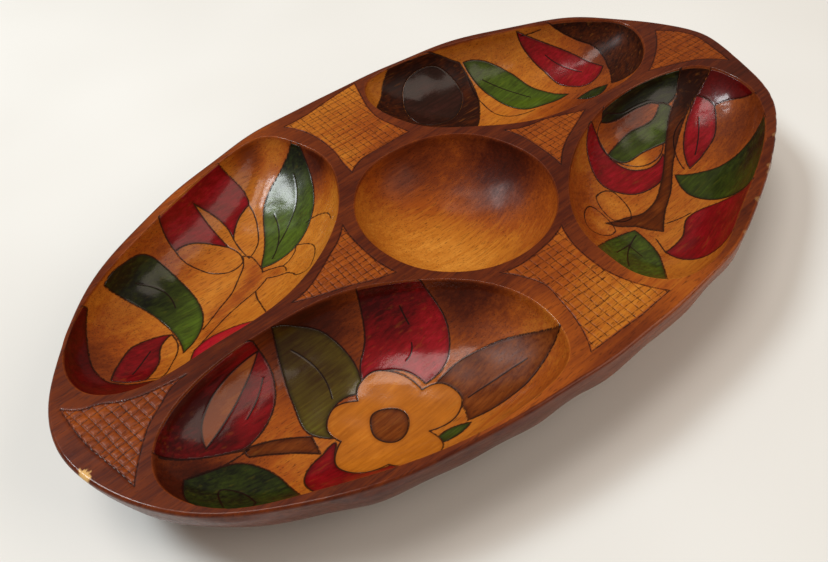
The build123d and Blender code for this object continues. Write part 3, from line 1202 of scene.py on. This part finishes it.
def rear_well() -> Well:
    """The well at the far side of the +X end: a fruit, a leaf and a petal.

    Returns:
        The well, with its motifs, burnt lines, stain and painted shade.
    """
    motifs = [
        Motif("fruit_core_black", Paint.BLACK, [
            [(56, 105), (70, 107), (86, 100), (89, 90), (77, 78), (60, 75), (47, 79), (46, 90), (52, 101)]]),
        Motif("fruit_brown", Paint.BROWN, [
            [(43, 109), (58, 113), (81, 107), (97, 98)], [(97, 84), (90, 73)],
            [(60, 54), (31, 56), (20, 76), (39, 105)]], over=["fruit_core_black", "leaf_green"], light=0.15),
        Motif("leaf_green", Paint.GREEN, [
            [(111, 92), (123, 79), (128, 59), (136, 41)], [(119, 46), (109, 51), (102, 76), (99, 97)]], light=0.65),
        Motif("petal_red", Paint.RED, [
            [(148, 77), (159, 61), (164, 38)], [(149, 36), (141, 47), (140, 68), (136, 87)]], light=0.5),
        Motif("small_leaf_green", Paint.GREEN, [
            [(144, 31), (151, 24)], [(142, 22), (135, 33)]], light=0.3),
        Motif("end_brown", Paint.BROWN, [
            [(166, 62), (171, 52), (166, 37)], [(159, 28), (152, 22)],
            [(170, 0), (200, 30), (176, 70), (152, 80)]], light=0.2),
    ]
    lines = [
        [(98, 93), (94, 76), (95, 56), (112, 47)], [(138, 85), (150, 79)],
        [(105, 86), (113, 73), (120, 58)], [(147, 71), (151, 58), (155, 47)],
    ]
    outline = [
        (21, 75), (22, 94), (32, 109), (52, 112), (88, 105), (138, 86), (178, 57), (186, 42), (180, 25), (162, 10),
        (125, 4), (84, 12), (45, 36), (27, 56)]
    # Painted shade: the darker patches on the walls at the +X end, at the near side and towards the -X end.
    spots = [Spot(180, 45, 25, 0.5), Spot(128, 16, 26, 0.42), Spot(60, 30, 25, 0.25)]
    return Well("rear", (100, 60), outline, LONG_DEPTH, 0.25, spots, motifs, lines)


def right_well() -> Well:
    """The well at the near side of the +X end: a stem with leaves, a crescent and petals.

    Returns:
        The well, with its motifs, burnt lines, stain and painted shade.
    """
    motifs = [
        Motif("wall_leaf_green", Paint.GREEN, [
            [(115, -9), (125, -9), (138, -10), (146, -12), (151, -16)], [(160, -17), (170, -10)],
            [(160, 2), (135, 6), (104, -8)]], over=["wrap_leaf_green", "stem_brown"], light=0.15),
        Motif("wrap_leaf_green", Paint.GREEN, [
            [(101, -25), (121, -28), (136, -31)], [(147, -25), (155, -19)], [(153, -16), (150, -14)],
            [(143, -17), (121, -16), (97, -20)]], over=["stem_brown"], light=0.55),
        Motif("crescent_red", Paint.RED, [
            [(82, -17), (78, -30), (88, -42), (103, -47), (120, -44), (129, -35)],
            [(112, -36), (100, -27), (97, -12)], [(94, -8), (91, -9)]], over=["stem_brown"], light=0.5),
        Motif("stem_brown", Paint.BROWN, [
            [(168, -25), (150, -31), (128, -43), (110, -55), (92, -64), (80, -72)], [(76, -66), (72, -60)],
            [(66, -57), (58, -51)],
            [(72, -53), (84, -56), (94, -55), (114, -46), (138, -30), (150, -22), (162, -17)],
            [(170, -12), (180, -12)], [(186, -18), (181, -24)]], light=0.45, fade=Spot(168, -18, 18, -0.4)),
        Motif("pink_petal_red", Paint.RED, [
            [(165, -43), (156, -49), (147, -51), (131, -52)], [(138, -43), (153, -32), (170, -25)],
            [(172, -31), (171, -37)]], over=["stem_brown"], light=0.55),
        Motif("top_dark_red", Paint.DARK_RED, [
            [(175, -41), (177, -50), (173, -66)], [(192, -60), (196, -25), (184, -20)], [(176, -24), (170, -25)],
            [(172, -31), (171, -37)]], over=["stem_brown"]),
        Motif("crescent_green", Paint.GREEN, [
            [(131, -58), (142, -67), (154, -70), (170, -67)], [(160, -90), (116, -100)],
            [(113, -84), (114, -62), (122, -49)]], light=0.45, fade=Spot(150, -78, 16, -0.3)),
        Motif("low_petal_red", Paint.RED, [
            [(112, -86), (104, -77), (98, -75), (81, -82), (66, -83)],
            [(64, -94), (71, -106), (90, -106), (113, -98)]], over=["crescent_green"], light=0.45),
        Motif("low_leaf_green", Paint.GREEN, [
            [(47, -61), (21, -71)], [(16, -85), (28, -106)], [(52, -91), (64, -78), (69, -62)]],
            over=["stem_brown"], light=0.55),
    ]
    lines = [
        [(97, -20), (96, -13), (106, -7), (125, -8), (138, -9), (146, -11), (151, -15)],
        [(134, -31), (129, -34), (119, -35), (111, -33), (105, -29), (97, -22)],
        [(151, -71), (161, -71), (170, -65)],
        [(68, -36), (81, -37), (80, -50), (75, -55)], [(75, -55), (65, -51), (64, -46), (68, -36)],
        [(48, -44), (60, -41), (62, -50), (59, -57)], [(59, -57), (51, -58), (43, -53), (48, -44)],
        [(162, -34), (150, -43), (141, -48)], [(155, -28), (146, -30), (133, -42), (129, -50)],
        [(86, -69), (100, -74)], [(72, -73), (65, -84)], [(66, -65), (51, -71), (37, -81)], [(42, -70), (57, -68)],
        [(53, -78), (55, -69)],
    ]
    outline = [
        (22, -81), (25, -63), (41, -39), (76, -15), (120, -4), (158, -8), (179, -20), (182, -42), (169, -64),
        (140, -83), (90, -102), (46, -112), (30, -106), (22, -92)]
    # Painted shade: the darker patches under the far lip, on the +X end wall, on the -X wall and, faintly, in the
    # middle. The lighter patches lighten the two gold ovals and the wood above the red crescent.
    spots = [
        Spot(130, -6, 24, 0.35), Spot(50, -45, 26, 0.16), Spot(165, -58, 24, 0.32), Spot(110, -35, 30, 0.06),
        Spot(73, -45, 8, -0.20), Spot(54, -50, 7, -0.20), Spot(112, -31, 8, -0.26)]
    return Well("right", (104, -58), outline, LONG_DEPTH, 0.30, spots, motifs, lines)


def front_well() -> Well:
    """The well at the near side of the -X end: a flower with leaves and petals.

    Returns:
        The well, with its motifs, burnt lines, stain and painted shade.
    """
    motifs = [
        Motif("left_petal_red", Paint.RED, [
            [(-123, -11), (-126, -18), (-141, -30), (-152, -33)], [(-164, -30), (-183, -24)],
            [(-178, -6), (-148, 0), (-124, -4)]], light=0.5, fade=Spot(-165, -8, 26, -0.5),
            unpainted=[[(-137, -7), (-153, -12), (-162, -19), (-165, -26)], [(-146, -17), (-124, -6)]]),
        Motif("dark_leaf_green", Paint.GREEN, [
            [(-167, -35), (-158, -37), (-150, -47), (-148, -62), (-150, -84)], [(-166, -80), (-180, -58)],
            [(-183, -46), (-179, -35)]], light=0.25),
        Motif("root_red", Paint.RED, [
            [(-121, -53), (-126, -59), (-127, -68), (-109, -81)], [(-112, -98), (-128, -96)],
            [(-142, -76), (-142, -60), (-129, -54)]], over=["flower_yellow"], light=0.4),
        Motif("centre_leaf_green", Paint.GREEN, [
            [(-106, -6), (-95, -13), (-91, -25), (-97, -42)], [(-107, -38), (-116, -42), (-120, -51)],
            [(-127, -42), (-124, -27), (-114, -4)]], over=["flower_yellow"], light=0.55,
            fade=Spot(-110, -12, 24, -0.35), thin=0.15),
        Motif("upper_petal_red", Paint.RED, [
            [(-81, -25), (-91, -33), (-95, -42)], [(-84, -40), (-76, -48), (-74, -58)],
            [(-60, -57), (-49, -45), (-50, -28)], [(-58, -14), (-72, -6)]],
            over=["flower_yellow", "centre_leaf_green"], light=0.7, fade=Spot(-62, -12, 26, -0.7)),
        Motif("flower_core_brown", Paint.BROWN, [
            [(-101, -53), (-94, -55), (-90, -63), (-94, -69), (-102, -71), (-107, -63), (-105, -57)]], light=0.66),
        Motif("flower_yellow", Paint.YELLOW, [
            [(-98, -39), (-88, -37), (-79, -46), (-77, -59)], [(-69, -63), (-68, -75), (-76, -80), (-89, -77)],
            [(-91, -88), (-104, -93), (-113, -79)], [(-124, -74), (-128, -63), (-119, -54)],
            [(-120, -46), (-111, -39), (-101, -43)]], over=["flower_core_brown"], light=0.40),
        Motif("bract_green", Paint.GREEN, [
            [(-83, -83), (-75, -88)], [(-84, -89), (-95, -84)]], over=["flower_yellow"]),
        Motif("leaf_brown", Paint.BROWN, [
            [(-59, -61), (-41, -68), (-24, -90)], [(-45, -93), (-75, -86)], [(-70, -75), (-74, -62)]],
            over=["flower_yellow"], light=0.6),
        Motif("stem_brown", Paint.BROWN, [
            [(-144, -35), (-127, -44)], [(-128, -49), (-129, -53)], [(-143, -42), (-153, -37)],
            [(-153, -34), (-152, -33)]], light=0.5),
    ]
    lines = [
        [(-124, -6), (-137, -7), (-153, -12), (-162, -19), (-165, -26)], [(-165, -26), (-146, -17), (-124, -6)],
        [(-182, -25), (-164, -30), (-151, -34)], [(-151, -34), (-161, -35), (-177, -35)],
        [(-173, -50), (-170, -45), (-167, -47), (-163, -59)], [(-163, -59), (-172, -65), (-173, -50)],
        [(-128, -13), (-135, -18), (-144, -23)], [(-111, -11), (-106, -22), (-109, -35)], [(-61, -27), (-62, -34)],
        [(-66, -40), (-69, -43), (-73, -44)], [(-38, -85), (-53, -80), (-66, -77)],
    ]
    outline = [
        (-187, -36), (-181, -22), (-157, -8), (-119, -4), (-80, -11), (-48, -31), (-27, -57), (-23, -82),
        (-33, -102), (-54, -107), (-105, -97), (-149, -78), (-180, -56)]
    # Painted shade: the darker patches under the far lip, on the wall towards +X, on the -X end wall and, less, on
    # the near wall towards +X. The last lightens the floor a little.
    spots = [
        Spot(-100, -8, 30, 0.58), Spot(-35, -42, 24, 0.55), Spot(-176, -40, 22, 0.62), Spot(-50, -100, 24, 0.16),
        Spot(-60, -75, 30, -0.08)]
    return Well("front", (-106, -56), outline, LONG_DEPTH, 0.30, spots, motifs, lines)


def round_well() -> Well:
    """The round well in the middle, bare of paint."""
    # Painted light and shade over the round well's even stain: the floor and the -X wall lighter, the +X wall and
    # the far wall darker.
    spots = [Spot(-14, -10, 36, -0.32), Spot(46, 8, 26, 0.46), Spot(10, 50, 22, 0.26), Spot(-34, 26, 20, -0.10)]
    return Well("round", (0, 0), ROUND_POINTS, ROUND_DEPTH, 0.41, spots, rings=120, columns=560)


def hatch_panels() -> list[HatchPanel]:
    """The six hatched panels, named for where they lie.

    Returns:
        The panels, with their outlines and stain.
    """
    return [
        HatchPanel("far_side", [
            [(-16, 109), (5, 112), (27, 114)], [(22, 102), (17, 89), (15, 77), (17, 65), (19, 56)],
            [(10, 57), (-2, 57), (-15, 56), (-25, 51)],
            [(-24, 59), (-21, 71), (-20, 85), (-23, 100), (-28, 109)]], tone=0.22, spots=[Spot(8, 68, 26, 0.22)],
            turn=-2.0, seed=11, pitch=3.8),
        HatchPanel("right_of_middle", [
            [(67, 15), (79, 12), (92, 5), (100, 1)], [(86, -4), (71, -10), (55, -21)],
            [(57, -11), (58, -3), (59, 8), (56, 21)]], tone=0.42, turn=-4.0, seed=12, pitch=3.7),
        HatchPanel("right_end", [
            [(204, 7), (199, -15), (195, -27)], [(184, -15), (170, -7), (155, 0)], [(175, 10), (193, 24)]],
            tone=0.50, turn=-6.0, seed=13),
        HatchPanel("near_side", [
            [(16, -63), (14, -74), (14, -85), (17, -97), (24, -110)],
            [(17, -110), (4, -110), (-9, -109), (-26, -108)],
            [(-21, -101), (-17, -92), (-14, -81), (-12, -70), (-15, -61), (-21, -51)],
            [(-11, -54), (2, -54), (12, -53), (22, -50)]], tone=0.34,
            spots=[Spot(-5, -62, 20, 0.14), Spot(8, -98, 20, -0.14)], turn=-6.0, seed=14),
        HatchPanel("left_of_middle", [
            [(-55, 13), (-56, 3), (-56, -8), (-54, -18)], [(-64, -15), (-75, -10), (-88, -5), (-100, 1)],
            [(-91, 2), (-81, 6), (-70, 12), (-61, 17), (-52, 25)]], tone=0.44, turn=-4.0, seed=15, pitch=3.4),
        HatchPanel("left_end", [
            [(-195, 14), (-188, 11), (-181, 6), (-174, 3), (-166, 1), (-154, -1)],
            [(-161, -2), (-170, -7), (-178, -12), (-184, -18), (-195, -32)],
            [(-196, -25), (-198, -15), (-200, -5), (-201, 6), (-201, 20)]], tone=0.52, turn=6.5, seed=16,
            pitch=4.0, groove_half_width=0.80, groove_depth=0.34),
    ]


# Tone patches on the lands. The two lighter ones along the near rim, at (-60, -112) and (30, -105), are painted
# sheen; the others vary the stain.
LAND_SPOTS = [
    Spot(5, 85, 30, -0.10), Spot(-198, 10, 36, -0.04), Spot(55, -5, 30, 0.04), Spot(-24, -82, 18, -0.22),
    Spot(30, -105, 30, -0.38), Spot(100, -104, 40, -0.04), Spot(160, -78, 30, -0.04), Spot(-110, 103, 36, -0.28),
    Spot(-50, 117, 30, -0.20), Spot(-60, -112, 40, -0.34), Spot(-130, 0, 40, 0.04), Spot(190, -40, 36, 0.08),
]
LAND_LINES = [[(139, -83), (145, -82), (152, -84)]]
# The lighter patch on the near side of the wall is painted sheen.
WALL_SPOTS = [Spot(40, -112, 70, -0.22)]
CRACKS = [
    [(-165, -76, 44), (-154, -82, 41), (-142, -87, 38)], [(-112, -99, 44), (-107, -100, 42), (-103, -100.5, 40)],
]


@dataclass(frozen=True)
class Lamp:
    """A square soft light that shines at the dish: where it is, its power in watts, side in metres and colour."""

    name: str
    toward: tuple[float, float, float]
    power: float
    size: float
    colour: str = "ffffff"
    distance: float = 2.5

    def build(self) -> None:
        """Makes the light."""
        data = bpy.data.lights.new(self.name, "AREA")
        data.energy, data.size, data.color = self.power, self.size, linear(self.colour)[:3]
        light = bpy.data.objects.new(self.name, data)
        direction = Vector(self.toward).normalized()
        light.location = direction * self.distance
        light.rotation_euler = direction.to_track_quat("Z", "Y").to_euler()
        bpy.context.scene.collection.objects.link(light)


@dataclass(frozen=True)
class Studio:
    """A white table top, three soft lights and a pale, dim room."""

    floor_reach: float = 12.0
    lamps: tuple[Lamp, ...] = (
        Lamp("key_light", (-0.37, 0.47, 0.84), 36.0, 0.62, "f6fcff"),
        Lamp("ceiling_light", (-0.10, 0.16, 0.97), 20.0, 0.90, "fff4ec"),
        Lamp("fill_light", (0.50, -0.60, 0.64), 21.0, 1.60, "ffeede"),
    )
    room: str = "ffead8"
    room_strength: float = 0.25

    def build(self) -> None:
        """Makes the table top, the lights and the room's own light."""
        mesh = bpy.data.meshes.new("table_top")
        s = self.floor_reach
        mesh.from_pydata([(-s, -s, 0), (s, -s, 0), (s, s, 0), (-s, s, 0)], [], [(0, 1, 2, 3)])
        mesh.materials.append(TableTop().make())
        floor = bpy.data.objects.new("table_top", mesh)
        bpy.context.scene.collection.objects.link(floor)
        for lamp in self.lamps:
            lamp.build()
        world = bpy.data.worlds.new("pale_room")
        world.use_nodes = True
        background = world.node_tree.nodes["Background"]
        background.inputs[0].default_value = linear(self.room)
        background.inputs[1].default_value = self.room_strength
        bpy.context.scene.world = world
        bpy.context.scene.view_settings.view_transform = "Standard"


@dataclass(frozen=True)
class ViewPoint:
    """The camera: the point it looks at, from where, and how its lens is held."""

    target: tuple[float, float, float] = (-52.22, -27.88, 50.0)
    distance: float = 349.95
    azimuth: float = -38.296
    elevation: float = 47.850
    roll: float = -4.444
    lens: float = 33.786

    def build(self) -> None:
        """Makes the camera and gives it to the scene."""
        az, el, roll = (math.radians(v) for v in (self.azimuth, self.elevation, self.roll))
        back = Vector((math.sin(az) * math.cos(el), -math.cos(az) * math.cos(el), math.sin(el)))
        right = (-back).cross(Vector((0, 0, 1))).normalized()
        up = right.cross(-back)
        side = math.cos(roll) * right + math.sin(roll) * up
        top = -math.sin(roll) * right + math.cos(roll) * up
        camera = bpy.data.objects.new("camera", bpy.data.cameras.new("camera"))
        camera.data.lens = self.lens
        camera.data.sensor_width = 36.0
        place = (Vector(self.target) + back * self.distance) * MM
        turn = Matrix((side, top, back)).transposed().to_4x4()
        camera.matrix_world = Matrix.Translation(place) @ turn
        bpy.context.scene.collection.objects.link(camera)
        bpy.context.scene.camera = camera


def main() -> None:
    """Builds the dish and its surroundings in order."""
    logging.basicConfig(level=logging.INFO, format="%(name)s: %(message)s")
    ViewPoint().build()
    Studio().build()
    wood = StainedHardwood().make()
    worn = StainedHardwood("stained_hardwood_worn_varnish", varnish=WORN_VARNISH).make()
    paints = {paint: finish.make() for paint, finish in PAINTS.items()}
    wells = [left_well(), rear_well(), right_well(), front_well()]
    middle = round_well()
    lands = Lands(hatch_panels(), LAND_SPOTS, LAND_LINES)
    rim = RimWall(RIM, spots=WALL_SPOTS, cracks=CRACKS)
    rim.build(wood)
    lands.build(rim, [*wells, middle], wood, worn)
    for well in wells:
        well.build(lands, wood, paints)
    middle.build(lands, worn, paints)


if __name__ == "__main__":
    main()
